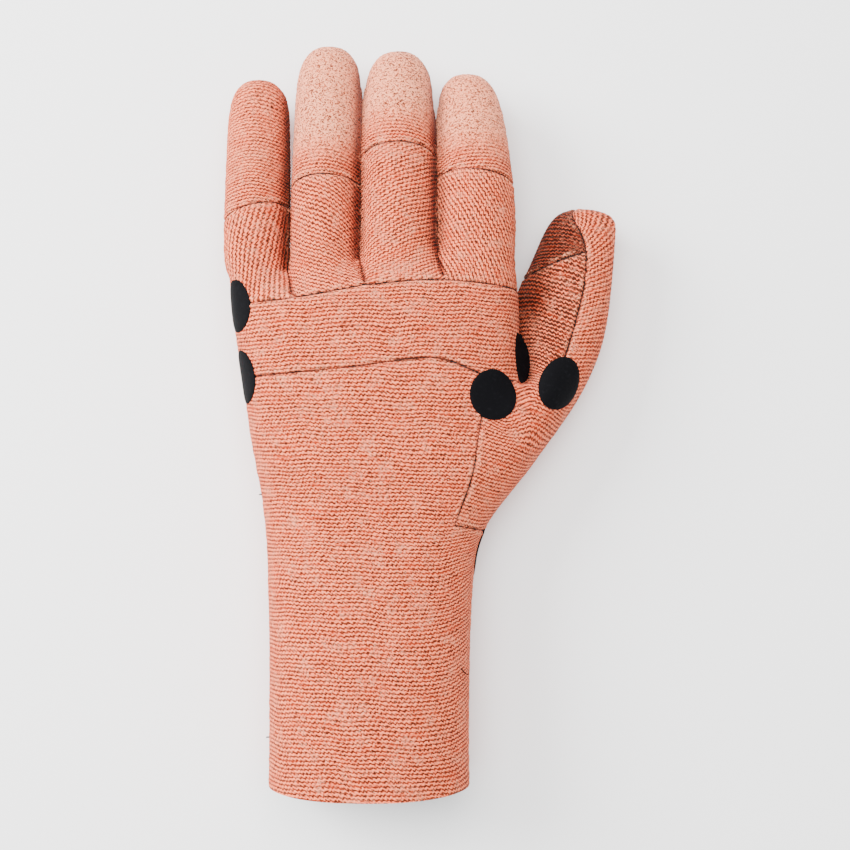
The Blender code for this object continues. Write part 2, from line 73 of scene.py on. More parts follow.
# The sheet that the panels are cut from
sheet = {
    "foldLimit": 50,  # degrees: a sharper edge ends a panel's outer face
    "weldReach": 0.00045,
    "joinAngle": 50,  # degrees: how flat and how square two triangles are that join to one face
    "joinShape": 70,
    "smoothLevels": 2,
    "thickness": 0.0040,
    "seamGap": 0.00022,
    "downFacing": -0.2,  # a panel whose normals have a lower mean height is an underside
    "clearFacing": 0.5,  # faces this level show which way the panel's rows run
    "acrossRows": 0.00038,  # mesh sampling across and along the rows
    "alongRows": 0.00110,
    "mostCuts": 9,
    "cutPercentile": 70,
    "seamPoints": 0.00025,  # from point to point of a measured seam
    "roundness": 0.75,
    "lowest": (0.00002, 0.00004),  # height of the outer and the inner face over the floor
    "sharpEdge": 65,
    "rowRelief": 0.00016,
    "plushRelief": 0.00010,
    "plushGrain": 0.0011,
    "calm": (0.0003, 0.0016),  # how far from a seam the relief starts and is full
    "seamDepth": 0.00055,
    "seamWidth": 0.00060,
    "lineWidth": 0.00050,
    "puffHeight": 0.00028,
    "puffPlace": 0.00130,
    "puffWidth": 0.00070,
    "tuftSize": 0.0042,
    "tipPlushStart": 0.0030,
    "tipPlushFull": 0.0210,
    "thumbOpens": (0.006, 0.020),  # where the painted shade in the grooves of the thumb's inner panel starts and is full
}

# The soft fingers press against each other, so their sides swell into the air between them.
crevice = {
    "fingers": ["little", "ring", "middle", "index"],
    "gapLeft": 0.00012,
    "mostSwell": 0.00070,
    "fullWithin": 0.0018,
    "endsAt": 0.0026,
    "sideways": 0.12,  # least sideways lean of a face that lies in a crevice, and of one that swells
    "swellSideways": 0.35,
    "facing": 0.5,
    # Painted shade on the sides that face the next finger: how near the other finger it ends, towards the
    # thumb and away from it, and how steep the sheet must be. The thumb's panels get painted shade by how
    # near they are to the index finger, with a least darkness.
    "darkTowards": (0.0010, 0.0115),
    "darkSteep": (0.60, 0.99),
    "darkAway": (0.0002, 0.0026),
    "thumbDark": (0.0020, 0.0190),
    "thumbLeast": {"thumb_inner": 0.12, "thumb_tip": 0.68},
}

# Under the thumb's crotch the panels run into each other without a visible seam, and their rows
# meet in a crease.
crotch = {
    "quietMiddle": (0.0412, 0.0030, 0.0300),
    "quietReach": 0.0125,
    "creaseMiddle": (0.0414, -0.0010),
    "creaseFull": 0.0075,
    "creaseReach": 0.0175,
    "creaseSlope": 0.40,
    "creaseSharpness": 0.0006,
    "creaseAbove": 0.012,
}

# On the thumb's side of the cuff the rows run up: where that starts and the band it is read from, how
# far it takes, and how steep it is at each distance down the glove.
cuffRise = {
    "startsAt": 0.0010,
    "startBand": 0.0015,
    "fullAfter": 0.0150,
    "down": (0.034, 0.050, 0.066, 0.110, 0.146),
    "slopes": (0.0, 0.30, 0.48, 0.38, 0.12),
}


def addObject(name, data):
    made = bpy.data.objects.new(name, data)
    bpy.context.scene.collection.objects.link(made)
    return made


def weldedMesh(node):
    bm = bmesh.new()
    bm.from_mesh(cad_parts[node].data)
    bmesh.ops.remove_doubles(bm, verts=bm.verts, dist=2e-6)
    return bm


def faceGroups(bm, limitDegrees):
    # faces joined by edges that fold less than the limit, the largest group first
    limit = math.radians(limitDegrees)
    groups, seen = [], set()
    for first in bm.faces:
        if first in seen:
            continue
        seen.add(first)
        group, front = [], [first]
        while front:
            face = front.pop()
            group.append(face)
            for edge in face.edges:
                if len(edge.link_faces) != 2 or edge.calc_face_angle(math.pi) > limit:
                    continue
                for other in edge.link_faces:
                    if other not in seen:
                        seen.add(other)
                        front.append(other)
        groups.append(group)
    return sorted(groups, key=lambda g: -sum(f.calc_area() for f in g))


def sewnSkin():
    # the outer faces of every panel, closed over the seam gaps and smoothed
    bm = bmesh.new()
    for number, name in enumerate(panelCuts):
        panel = weldedMesh(name)
        copies = {}
        for face in faceGroups(panel, sheet["foldLimit"])[0]:
            for vert in face.verts:
                if vert not in copies:
                    copies[vert] = bm.verts.new(vert.co)
            bm.faces.new([copies[v] for v in face.verts]).material_index = number
        panel.free()
    rims = [v for v in bm.verts if v.is_boundary]
    bmesh.ops.remove_doubles(bm, verts=rims, dist=sheet["weldReach"])
    bmesh.ops.join_triangles(
        bm,
        faces=bm.faces,
        cmp_materials=True,
        angle_face_threshold=math.radians(sheet["joinAngle"]),
        angle_shape_threshold=math.radians(sheet["joinShape"]),
    )
    mesh = bpy.data.meshes.new("sewn_skin")
    bm.to_mesh(mesh)
    print("skin:", len(bm.faces), "faces,", sum(len(f.verts) == 3 for f in bm.faces), "triangles,",
          sum(e.is_boundary for e in bm.edges), "open edges,",
          sum(not e.is_manifold and not e.is_boundary for e in bm.edges), "bad edges")
    bm.free()
    skin = addObject("sewn_skin", mesh)
    smooth = skin.modifiers.new("smooth", "SUBSURF")
    smooth.levels = smooth.render_levels = sheet["smoothLevels"]
    bpy.context.view_layer.update()
    fine = bpy.data.meshes.new_from_object(skin.evaluated_get(bpy.context.evaluated_depsgraph_get()))
    bpy.data.objects.remove(skin)
    return fine


def skinArrays(mesh):
    places = np.empty(len(mesh.vertices) * 3)
    mesh.vertices.foreach_get("co", places)
    normals = np.empty(len(mesh.vertices) * 3)
    mesh.vertices.foreach_get("normal", normals)
    quads = np.empty(len(mesh.loops), int)
    mesh.loops.foreach_get("vertex_index", quads)
    panels = np.empty(len(mesh.polygons), int)
    mesh.polygons.foreach_get("material_index", panels)
    return places.reshape(-1, 3), normals.reshape(-1, 3), quads.reshape(-1, 4), panels


def edgeTable(quads):
    ends = np.stack([quads, np.roll(quads, -1, axis=1)], axis=2)
    edges, edgeOf = np.unique(np.sort(ends, axis=2).reshape(-1, 2), axis=0, return_inverse=True)
    return edges, edgeOf.reshape(-1, 4)


def stripOf(edgeCount, edgeOf):
    # edges that face each other across a quad belong to one strip, and are cut alike
    parent = list(range(edgeCount))

    def root(i):
        while parent[i] != i:
            parent[i] = parent[parent[i]]
            i = parent[i]
        return i

    for a, b, c, d in edgeOf.tolist():
        parent[root(a)] = root(c)
        parent[root(b)] = root(d)
    return np.array([root(i) for i in range(edgeCount)])


def flatPattern(name, places, normals, quads, used):
    # the panel unrolled flat, in metres, turned so that its knit rows run along the first axis
    local = np.searchsorted(used, quads)
    mesh = bpy.data.meshes.new("pattern")
    mesh.from_pydata(places[used].tolist(), [], local.tolist())
    piece = addObject("pattern", mesh)
    bpy.context.view_layer.objects.active = piece
    piece.select_set(True)
    mesh.uv_layers.new(name="flat")
    bpy.ops.object.mode_set(mode="EDIT")
    bpy.ops.mesh.select_all(action="SELECT")
    bpy.ops.uv.unwrap(method="ANGLE_BASED", margin=0)
    bpy.ops.object.mode_set(mode="OBJECT")
    corners = np.empty(len(mesh.loops) * 2)
    mesh.uv_layers["flat"].uv.foreach_get("vector", corners)
    flat = np.zeros((len(used), 2))
    flat[local.reshape(-1)] = corners.reshape(-1, 2)
    bpy.data.objects.remove(piece)
    bpy.data.meshes.remove(mesh)

    a, b, c, d = (flat[local[:, k]] for k in range(4))
    flatArea = np.abs(np.cross(c - a, d - b)).sum() / 2
    p, q, r, s = (places[quads[:, k]] for k in range(4))
    flat *= math.sqrt(np.linalg.norm(np.cross(r - p, s - q), axis=1).sum() / 2 / flatArea)

    facing = normals[quads].mean(axis=1)[:, 2]
    under = facing.mean() < sheet["downFacing"]
    clear = (-facing if under else facing) > sheet["clearFacing"]
    if not clear.any():
        clear = facing > 0
    across = (r - p)[clear][:, :2] * ((-1, 1) if under else (1, 1))
    step = (flat[local[:, 2]] - flat[local[:, 0]])[clear]
    turn = math.atan2(np.cross(step, across).sum(), (step * across).sum())
    turn -= math.radians(panelCuts[name]["grain"])
    u = flat[:, 0] * math.cos(turn) - flat[:, 1] * math.sin(turn)
    v = flat[:, 0] * math.sin(turn) + flat[:, 1] * math.cos(turn)
    u, v = u - u.mean(), v - v.mean()
    if name == "back_cuff":
        # towards the thumb's side the rows rise
        spots = places[used]
        start = np.abs(spots[:, 0] - cuffRise["startsAt"]) < cuffRise["startBand"]
        past = np.maximum(0, u - np.median(u[start]))
        bend = np.minimum(past, cuffRise["fullAfter"])
        steep = np.interp(-spots[:, 1], cuffRise["down"], cuffRise["slopes"])
        v = v - steep * (bend * bend / 2 / cuffRise["fullAfter"] + past - bend)
    if name in ("thumb_inner", "thumb_outer"):
        # level rows that rise to a crease, the same in both panels
        pitch = panelCuts[name]["pitch"]
        spots = places[used]
        away = spots[:, :2] - crotch["creaseMiddle"]
        share = 1 - smoothStep(np.linalg.norm(away, axis=1), crotch["creaseFull"], crotch["creaseReach"])
        share *= spots[:, 2] > crotch["creaseAbove"]
        level = spots[:, 1] + crotch["creaseSlope"] * np.hypot(away[:, 0], crotch["creaseSharpness"])
        rim = (share > 0.2) & (share < 0.8)
        level += np.round((v - level)[rim].mean() / pitch) * pitch
        v = v + (level - v) * share
    return np.stack([u, v], axis=1)


def cutsPerEdge(edges, edgeOf, panels, patterns):
    # how many pieces each edge is cut into, so that the mesh can follow the knit rows
    need = np.ones(len(edges))
    for number, name in enumerate(panelCuts):
        used, flat = patterns[name]
        mine = np.unique(edgeOf[panels == number])
        ends = flat[np.searchsorted(used, edges[mine])]
        step = np.abs(ends[:, 1] - ends[:, 0])
        fine = panelCuts[name]["fine"] * usualCut["pitch"] / panelCuts[name]["pitch"]
        wanted = np.maximum(step[:, 1] / sheet["acrossRows"], step[:, 0] / sheet["alongRows"]) * fine
        need[mine] = np.maximum(need[mine], wanted)
    strips = stripOf(len(edges), edgeOf)
    order = np.argsort(strips, kind="stable")
    starts = np.flatnonzero(np.r_[True, np.diff(strips[order]) > 0])
    cuts = np.ones(len(edges), int)
    for members in np.split(order, starts[1:]):
        wanted = math.ceil(np.percentile(need[members], sheet["cutPercentile"]))
        cuts[members] = max(1, min(sheet["mostCuts"], wanted))
    return cuts


def denseGrid(quads, edges, edgeOf, cuts):
    # every dense vertex as shares of the four corners of its quad, and the dense faces
    faces = []
    count = quads.max() + 1
    starts = count + np.concatenate([[0], np.cumsum(cuts - 1)])
    along, up = cuts[edgeOf[:, 0]], cuts[edgeOf[:, 1]]
    total = starts[-1] + ((along - 1) * (up - 1)).sum()
    corners = np.zeros((total, 4), int)
    shares = np.zeros((total, 4))
    free = starts[-1]

    def onEdge(edge, first, last, pieces):
        steps = np.arange(1, pieces)
        rising = starts[edge][:, None] + steps - 1
        falling = starts[edge][:, None] + (pieces - 1 - steps)
        return np.where((first < last)[:, None], rising, falling)

    for nu, nv in np.unique(np.stack([along, up], axis=1), axis=0):
        chosen = np.flatnonzero((along == nu) & (up == nv))
        quad, edge = quads[chosen], edgeOf[chosen]
        ids = np.empty((len(chosen), nv + 1, nu + 1), int)
        ids[:, 0, 0], ids[:, 0, nu], ids[:, nv, nu], ids[:, nv, 0] = quad.T
        ids[:, 0, 1:nu] = onEdge(edge[:, 0], quad[:, 0], quad[:, 1], nu)
        ids[:, 1:nv, nu] = onEdge(edge[:, 1], quad[:, 1], quad[:, 2], nv)
        ids[:, nv, 1:nu] = onEdge(edge[:, 2], quad[:, 3], quad[:, 2], nu)
        ids[:, 1:nv, 0] = onEdge(edge[:, 3], quad[:, 0], quad[:, 3], nv)
        inner = (len(chosen), nv - 1, nu - 1)
        ids[:, 1:nv, 1:nu] = free + np.arange(math.prod(inner)).reshape(inner)
        free += math.prod(inner)
        t, s = np.meshgrid(np.arange(nv + 1) / nv, np.arange(nu + 1) / nu, indexing="ij")
        share = np.stack([(1 - s) * (1 - t), s * (1 - t), s * t, (1 - s) * t], axis=-1).reshape(-1, 4)
        corners[ids.reshape(-1)] = np.repeat(quad, (nu + 1) * (nv + 1), axis=0)
        shares[ids.reshape(-1)] = np.tile(share, (len(chosen), 1))
        block = np.stack([ids[:, :-1, :-1], ids[:, :-1, 1:], ids[:, 1:, 1:], ids[:, 1:, :-1]], axis=-1)
        faces.append(block.reshape(-1, 4))
    return corners, shares, np.concatenate(faces), starts


def blended(values, corners, shares):
    return np.einsum("ij,ijk->ik", shares, values[corners])


def unit(vectors):
    return vectors / np.maximum(1e-12, np.linalg.norm(vectors, axis=1, keepdims=True))


def seamSteps(places, quads, edges, edgeOf, openEdges):
    # how each corner on the panel's sewn edge steps back into the panel
    count = np.bincount(edgeOf.reshape(-1), minlength=len(edges))
    steps = np.zeros_like(places)
    a, b, c, d = (places[quads[:, k]] for k in range(4))
    normal = unit(np.cross(c - a, d - b))
    for side in range(4):
        rim = (count[edgeOf[:, side]] == 1) & ~openEdges[edgeOf[:, side]]
        a, b = quads[rim, side], quads[rim, (side + 1) % 4]
        inward = unit(np.cross(normal[rim], places[b] - places[a]))
        np.add.at(steps, a, inward)
        np.add.at(steps, b, inward)
    return unit(steps) * (np.linalg.norm(steps, axis=1, keepdims=True) > 1e-6) * sheet["seamGap"] / 2


def smoothStep(values, low, high):
    t = np.clip((values - low) / (high - low), 0, 1)
    return t * t * (3 - 2 * t)


def softNoise(points, size, seed):
    # a smooth random field from nine waves, scaled to between about -1 and 1
    rng = np.random.default_rng(seed)
    total = np.zeros(len(points))
    for _ in range(9):
        direction = unit(rng.normal(size=(1, points.shape[1])))[0]
        wave = 2 * math.pi / (size * rng.uniform(0.7, 1.6))
        total += np.sin(points @ direction * wave + rng.uniform(0, 2 * math.pi))
    return total / 3.6


knit = {
    "stitchWidth": 0.0018,
    "rowWave": 0.15,  # share of a row by which a stitch bends it
    "drift": 0.00045,  # slow wander of the rows
    "driftSize": 0.018,
}


def knitHeight(flat, pitch):
    # 0 in the groove between two rows and 1 on a row's crown
    row = flat[:, 1] / pitch
    stitch = flat[:, 0] / knit["stitchWidth"] + 0.5 * row
    row = row + knit["rowWave"] * np.sin(2 * math.pi * stitch)
    return 0.5 - 0.5 * np.cos(2 * math.pi * row)


def quietEdges(places, edges):
    middles = places[edges].mean(axis=1)
    return np.linalg.norm(middles - np.array(crotch["quietMiddle"]), axis=1) < crotch["quietReach"]


def seamTree(places, edges, sewn):
    # close points along the seams, for the distance to the nearest of them
    points = []
    for a, b in places[edges[sewn]]:
        steps = max(1, int(np.linalg.norm(b - a) / sheet["seamPoints"]))
        points.extend(a + (b - a) * k / steps for k in range(steps))
    tree = KDTree(len(points))
    for k, point in enumerate(points):
        tree.insert(point, k)
    tree.balance()
    return tree


def fingerTrees(places, quads, panels):
    trees = {}
    for finger in crevice["fingers"]:
        own = [k for k, name in enumerate(panelCuts) if name.startswith(finger)]
        trees[finger] = BVHTree.FromPolygons(places.tolist(), quads[np.isin(panels, own)].tolist())
    return trees


def pressed(name, surface, direction, trees):
    # how far each place swells towards the finger beside it, and how much painted shade its colour gets there
    fingers = crevice["fingers"]
    own = name.split("_")[0]
    swell, dark = np.zeros(len(surface)), np.zeros(len(surface))
    if name in crevice["thumbLeast"]:
        gaps = np.array([trees["index"].find_nearest(place)[3] for place in surface.tolist()])
        return swell, np.maximum(1 - smoothStep(gaps, *crevice["thumbDark"]), crevice["thumbLeast"][name])
    if own not in fingers:
        return swell, dark
    beside = [k for k in (fingers.index(own) - 1, fingers.index(own) + 1) if 0 <= k < len(fingers)]
    for k in np.flatnonzero(np.abs(direction[:, 0]) > crevice["sideways"]):
        place, ahead = Vector(surface[k]), Vector(direction[k])
        for other in beside:
            spot, _, _, gap = trees[fingers[other]].find_nearest(place, crevice["darkTowards"][1])
            if spot is None or (spot[0] - place[0]) * ahead[0] < 0:
                continue
            if ahead[0] > 0:
                shade = 1 - smoothStep(gap, *crevice["darkTowards"])
                shade *= smoothStep(ahead[0], *crevice["darkSteep"])
            else:
                shade = 1 - smoothStep(gap, *crevice["darkAway"])
            dark[k] = max(dark[k], shade)
            faces = (spot - place).dot(ahead) > crevice["facing"] * gap
            if faces and abs(ahead[0]) > crevice["swellSideways"]:
                share = 1 - smoothStep(gap, crevice["fullWithin"], crevice["endsAt"])
                most = min((gap - crevice["gapLeft"]) / 2, crevice["mostSwell"])
                swell[k] = max(swell[k], most * share)
    return swell, dark


def panelPiece(number, name, skin, patterns, cuts, tree, openEdges, trees):
    places, normals, quads, panels, edges, edgeOf = skin
    used, flat = patterns[name]
    mine = panels == number
    ownQuads = np.searchsorted(used, quads[mine])
    ownEdges, ownEdgeOf = edgeTable(ownQuads)
    globalEdge = np.empty(len(ownEdges), int)
    globalEdge[ownEdgeOf.reshape(-1)] = edgeOf[mine].reshape(-1)
    ownCuts = cuts[globalEdge]
    corners, shares, faces, starts = denseGrid(ownQuads, ownEdges, ownEdgeOf, ownCuts)
    base = places[used] + seamSteps(places[used], ownQuads, ownEdges, ownEdgeOf, openEdges[globalEdge])
    upward = normals[used]

    flatFace = blended(base, corners, shares)
    rounded = np.zeros_like(flatFace)
    for k in range(4):
        corner, direction = base[corners[:, k]], upward[corners[:, k]]
        lift = ((flatFace - corner) * direction).sum(axis=1, keepdims=True)
        rounded += shares[:, k : k + 1] * (flatFace - lift * direction)
    surface = flatFace + (rounded - flatFace) * sheet["roundness"]
    direction = unit(blended(upward, corners, shares))
    uv = blended(flat, corners, shares)
    uv[:, 1] += knit["drift"] * softNoise(surface, knit["driftSize"], 7)

    # dark is painted shade beside the next finger and on the thumb's panels near the index finger
    swell, dark = pressed(name, surface, direction, trees)
    surface = surface + direction * swell[:, None]
    away = np.array([tree.find(p)[2] for p in surface.tolist()])
    cut = panelCuts[name]
    plush = np.zeros(len(surface))
    if name.endswith("_tip") and cut["loose"] > 0:
        rise = surface[:, 1] - np.percentile(surface[:, 1], 2)
        plush = cut["loose"] * smoothStep(rise, sheet["tipPlushStart"], sheet["tipPlushFull"])
    calm = smoothStep(away, *sheet["calm"])
    relief = sheet["rowRelief"] * (knitHeight(uv, cut["pitch"]) - 0.5) * (1 - 0.8 * plush) * calm
    relief += sheet["plushRelief"] * softNoise(surface, sheet["plushGrain"], 3) * (0.35 + 0.65 * plush) * calm
    puff = np.exp(-(((away - sheet["puffPlace"]) / sheet["puffWidth"]) ** 2))
    tufts = np.clip(0.55 + 0.6 * softNoise(surface, sheet["tuftSize"], 11), 0, 1.2)
    relief += sheet["puffHeight"] * puff * tufts
    relief -= sheet["seamDepth"] * np.exp(-((away / sheet["seamWidth"]) ** 2))
    surface = surface + direction * relief[:, None]
    surface[:, 2] = np.maximum(surface[:, 2], sheet["lowest"][0])

    inside = base - upward * sheet["thickness"]
    inside[:, 2] = np.maximum(inside[:, 2], sheet["lowest"][1])
    offset = len(surface)
    allFaces = faces.tolist() + (ownQuads[:, ::-1] + offset).tolist()
    # the knit outside is 0, the lining inside is 1 and the cut edge between them is 2
    materialOf = [0] * len(faces) + [1] * len(ownQuads)
    count = np.bincount(ownEdgeOf.reshape(-1), minlength=len(ownEdges))
    for side in range(4):
        rim = np.flatnonzero(count[ownEdgeOf[:, side]] == 1)
        for row in rim:
            a, b = ownQuads[row, side], ownQuads[row, (side + 1) % 4]
            edge = ownEdgeOf[row, side]
            cutPoints = list(range(starts[edge], starts[edge] + ownCuts[edge] - 1))
            cutPoints = cutPoints[::-1] if a < b else cutPoints
            allFaces.append([b, *cutPoints, a, a + offset, b + offset])
            materialOf.append(2)
    mesh = bpy.data.meshes.new(name + "_knit")
    mesh.from_pydata(np.concatenate([surface, inside]).tolist(), [], allFaces)
    mesh.polygons.foreach_set("material_index", np.array(materialOf, np.int32))
    loops = np.empty(len(mesh.loops), int)
    mesh.loops.foreach_get("vertex_index", loops)
    uvAll = np.concatenate([uv, flat])
    mesh.uv_layers.new(name="knit").uv.foreach_set("vector", uvAll[loops].reshape(-1))
    near = np.exp(-((away / sheet["lineWidth"]) ** 2))
    # the groove darkening of the thumb's panels, partly painted shade of the hand
    openAndShade = np.full(len(surface), cut["open"])
    if name == "thumb_inner":
        openAndShade *= smoothStep(surface[:, 1], *sheet["thumbOpens"])
    # the last of these carries the painted shade between the fingers and on the thumb's panels near the index
    # finger
    looks = (("plush", plush), ("seamLine", near), ("seamPuff", puff * tufts), ("open", openAndShade),
             ("paintedShade", dark))
    for label, values in looks:
        data = mesh.attributes.new(label, "FLOAT", "POINT").data
        data.foreach_set("value", np.concatenate([values, np.zeros(len(inside))]).astype(np.float32))
    mesh.shade_smooth()
    mesh.set_sharp_from_angle(angle=math.radians(sheet["sharpEdge"]))
    mesh.update()
    print(name, len(faces) * 2 + len(ownQuads) * 2, "triangles")
    return addObject(name + "_knit", mesh)


def feed(tree, value, socket):
    if isinstance(value, bpy.types.NodeSocket):
        tree.links.new(value, socket)
    else:
        socket.default_value = value


def addNode(tree, kind, inputs=(), **settings):
    made = tree.nodes.new(kind)
    for key, value in settings.items():
        setattr(made, key, value)
    for key, value in dict(inputs).items():
        feed(tree, value, made.inputs[key])
    return made


class Shader:
    # short calls for building a material's nodes
    def __init__(self, name):
        self.material = bpy.data.materials.new(name)
        self.material.use_nodes = True
        self.tree = self.material.node_tree

    def node(self, kind, inputs=(), **settings):
        return addNode(self.tree, kind, inputs, **settings)

    def attribute(self, label):
        return self.node("ShaderNodeAttribute", attribute_name=label).outputs["Fac"]

    def place(self):
        return self.node("ShaderNodeTexCoord").outputs["Object"]

    def math(self, operation, a, b=0.0):
        return self.node("ShaderNodeMath", {0: a, 1: b}, operation=operation).outputs[0]

    def times(self, a, b):
        return self.math("MULTIPLY", a, b)

    def plus(self, a, b):
        return self.math("ADD", a, b)

    def minus(self, a, b):
        return self.math("SUBTRACT", a, b)

    def blend(self, share, a, b, kind="MIX"):
        inputs = {0: share, 6: a, 7: b}
        made = self.node("ShaderNodeMix", inputs, data_type="RGBA", blend_type=kind, clamp_factor=True)
        return made.outputs[2]

    def ramp(self, value, stops):
        made = self.node("ShaderNodeValToRGB", {0: value})
        elements = made.color_ramp.elements
        while len(elements) < len(stops):
            elements.new(0.5)
        for element, (place, colour) in zip(elements, stops):
            element.position = place
            element.color = (*colour, 1)
        return made.outputs[0]

    def noise(self, place, scale, detail=2.0, roughness=0.5):
        inputs = {"Vector": place, "Scale": scale, "Detail": detail, "Roughness": roughness}
        return self.node("ShaderNodeTexNoise", inputs).outputs["Fac"]

    def between(self, value, low, high):
        made = self.node("ShaderNodeMapRange", {0: value, 1: low, 2: high}, interpolation_type="SMOOTHSTEP")
        return made.outputs[0]

    def bump(self, height, distance, strength):
        inputs = {"Height": height, "Distance": distance, "Strength": strength}
        return self.node("ShaderNodeBump", inputs).outputs[0]

    def finished(self, surface):
        for key, value in surface.items():
            feed(self.tree, value, self.tree.nodes["Principled BSDF"].inputs[key])
        return self.material


yarn = {
    "deep": (0.055, 0.011, 0.005),
    "groove": (0.150, 0.030, 0.014),
    "flank": (0.430, 0.058, 0.020),
    "crown": (0.860, 0.130, 0.050),
    "highlight": (0.960, 0.235, 0.110),
    "orange": (0.480, 0.042, 0.010),
    "pinkGrey": (0.760, 0.260, 0.150),
    "fleck": (0.980, 0.430, 0.270),
    "tipPlush": (0.960, 0.290, 0.140),
    "tipDark": (0.100, 0.028, 0.014),
    "tipShade": (0.560, 0.140, 0.068),
    "tipFleck": (0.980, 0.370, 0.205),
    # the colour that painted shade multiplies in, between the fingers and on the thumb's panels
    "paintedShade": (0.150, 0.056, 0.054),
    "thread": (0.010, 0.005, 0.005),
}


def knitMaterial(name, pitch):
    s = Shader(name)
    uv = s.node("ShaderNodeUVMap", uv_map="knit").outputs[0]
    place = s.place()
    parts = s.node("ShaderNodeSeparateXYZ", {0: uv})
    u, v = parts.outputs[0], parts.outputs[1]
    plush = s.attribute("plush")
    seamLine = s.attribute("seamLine")
    seamPuff = s.attribute("seamPuff")

    # wavy rows of staggered stitches
    row = s.math("DIVIDE", v, pitch)
    jitter = s.times(s.noise(place, 330.0, 2.0), 1.7)
    stitch = s.plus(s.math("DIVIDE", u, knit["stitchWidth"]), s.times(row, 0.5))
    stitch = s.plus(stitch, jitter)
    wave = s.times(s.math("SINE", s.times(stitch, 2 * math.pi)), knit["rowWave"])
    ragged = s.times(s.minus(s.noise(place, 900.0, 2.0), 0.5), 0.55)
    bent = s.plus(s.plus(row, wave), ragged)
    rows = s.times(s.math("COSINE", s.times(bent, 2 * math.pi)), -0.5)
    rows = s.plus(rows, 0.5)

    # loose plush: a fine speckle that takes over at the fingertips
    fibre = s.noise(place, 1700.0, 3.0, 0.7)
    speckle = s.between(s.noise(place, 1150.0, 2.0, 0.6), 0.36, 0.60)
    plush = s.times(plush, 0.88)
    # the grooves of the thumb's panels darken: painted shade of the hand on top of their stronger knit
    # contrast
    openAndShade = s.attribute("open")
    height = s.node("ShaderNodeMix", {0: plush, 2: rows, 3: speckle}).outputs[0]
    height = s.plus(height, s.times(s.minus(fibre, 0.5), 1.2))
    # painted shade: the sides that face the next finger and the thumb's panels near the index finger take a
    # darker tone
    paintedShade = s.attribute("paintedShade")
    grooves = s.plus(s.times(s.minus(1.0, rows), 0.62), 0.05)
    height = s.minus(height, s.times(openAndShade, grooves))
    height = s.minus(height, s.times(paintedShade, 0.30))

    # single loops of yarn, each a little lighter or darker
    loops = s.node("ShaderNodeTexVoronoi", {"Vector": place, "Scale": 2250.0}).outputs["Color"]
    loop = s.node("ShaderNodeSeparateColor", {0: loops}).outputs[0]
    tone = s.plus(height, s.times(s.minus(loop, 0.48), 0.50))

    # colour from the groove to the crown, heathered by the yarn: the near-black grooves are painted shade and
    # the pale crowns a painted highlight of the rows' relief, on top of the yarn's own tone
    stops = [(0.0, yarn["deep"]), (0.20, yarn["groove"]), (0.42, yarn["flank"]), (0.66, yarn["crown"]),
             (1.0, yarn["highlight"])]
    colour = s.ramp(tone, stops)
    stretched = {0: s.times(u, 70.0), 1: s.times(row, 0.8)}
    streak = s.node("ShaderNodeCombineXYZ", stretched).outputs[0]
    streaks = s.between(s.noise(streak, 1.0, 2.0), 0.52, 0.72)
    colour = s.blend(s.times(streaks, 0.45), colour, (*yarn["orange"], 1))
    worn = s.between(s.noise(place, 150.0, 4.0, 0.7), 0.50, 0.66)
    wornShare = s.times(worn, s.between(s.noise(place, 1250.0, 2.0, 0.7), 0.42, 0.60))
    colour = s.blend(s.times(wornShare, 0.60), colour, (*yarn["pinkGrey"], 1))
    dark = s.between(s.noise(place, 1300.0, 2.0, 0.7), 0.42, 0.32)
    colour = s.blend(s.times(dark, 0.50), colour, (*yarn["deep"], 1))
    flecks = s.between(s.noise(place, 1500.0, 2.0, 0.7), 0.60, 0.70)
    colour = s.blend(s.times(flecks, 0.50), colour, (*yarn["fleck"], 1))
    clumps = s.times(s.noise(place, 1150.0, 2.0, 0.6), 0.5)
    dots = s.plus(s.times(loop, 0.75), clumps)
    dots = s.plus(dots, s.times(s.minus(rows, 0.5), 0.12))
    tips = s.ramp(dots, [(0.34, yarn["tipDark"]), (0.48, yarn["tipShade"]), (0.58, yarn["tipPlush"]),
                         (0.82, yarn["tipFleck"])])
    colour = s.blend(plush, colour, tips)
    # painted shade multiplies the colour darker between the fingers and on the thumb's panels
    colour = s.blend(s.times(paintedShade, 0.95), colour, (*yarn["paintedShade"], 1), "MULTIPLY")

    # pale plush beside a seam and the dark line in it
    tuft = s.times(seamPuff, s.between(s.noise(place, 1250.0, 3.0, 0.6), 0.46, 0.58))
    colour = s.blend(s.times(tuft, 0.62), colour, (*yarn["tipFleck"], 1))
    line = s.times(seamLine, s.between(s.noise(place, 130.0, 3.0), 0.44, 0.56))
    colour = s.blend(s.times(line, 0.80), colour, (*yarn["thread"], 1))

    return s.finished({
        "Base Color": colour,
        "Normal": s.bump(height, 0.00035, 0.75),
        "Roughness": 0.92,
        "Specular IOR Level": 0.06,
        "Sheen Weight": s.plus(s.times(plush, 0.16), 0.05),
        "Sheen Roughness": 0.40,
        "Sheen Tint": (1.0, 0.80, 0.72, 1),
    })


def foamMaterial():
    # black foam rubber, seen at the cut edges
    s = Shader("foam_rubber_edge")
    place = s.place()
    cells = s.node("ShaderNodeTexVoronoi", {"Vector": place, "Scale": 2600.0}).outputs["Distance"]
    colour = s.ramp(cells, [(0.0, (0.018, 0.017, 0.017)), (0.6, (0.055, 0.050, 0.048))])
    return s.finished({"Base Color": colour, "Normal": s.bump(cells, 0.0002, 0.6), "Roughness": 0.85})


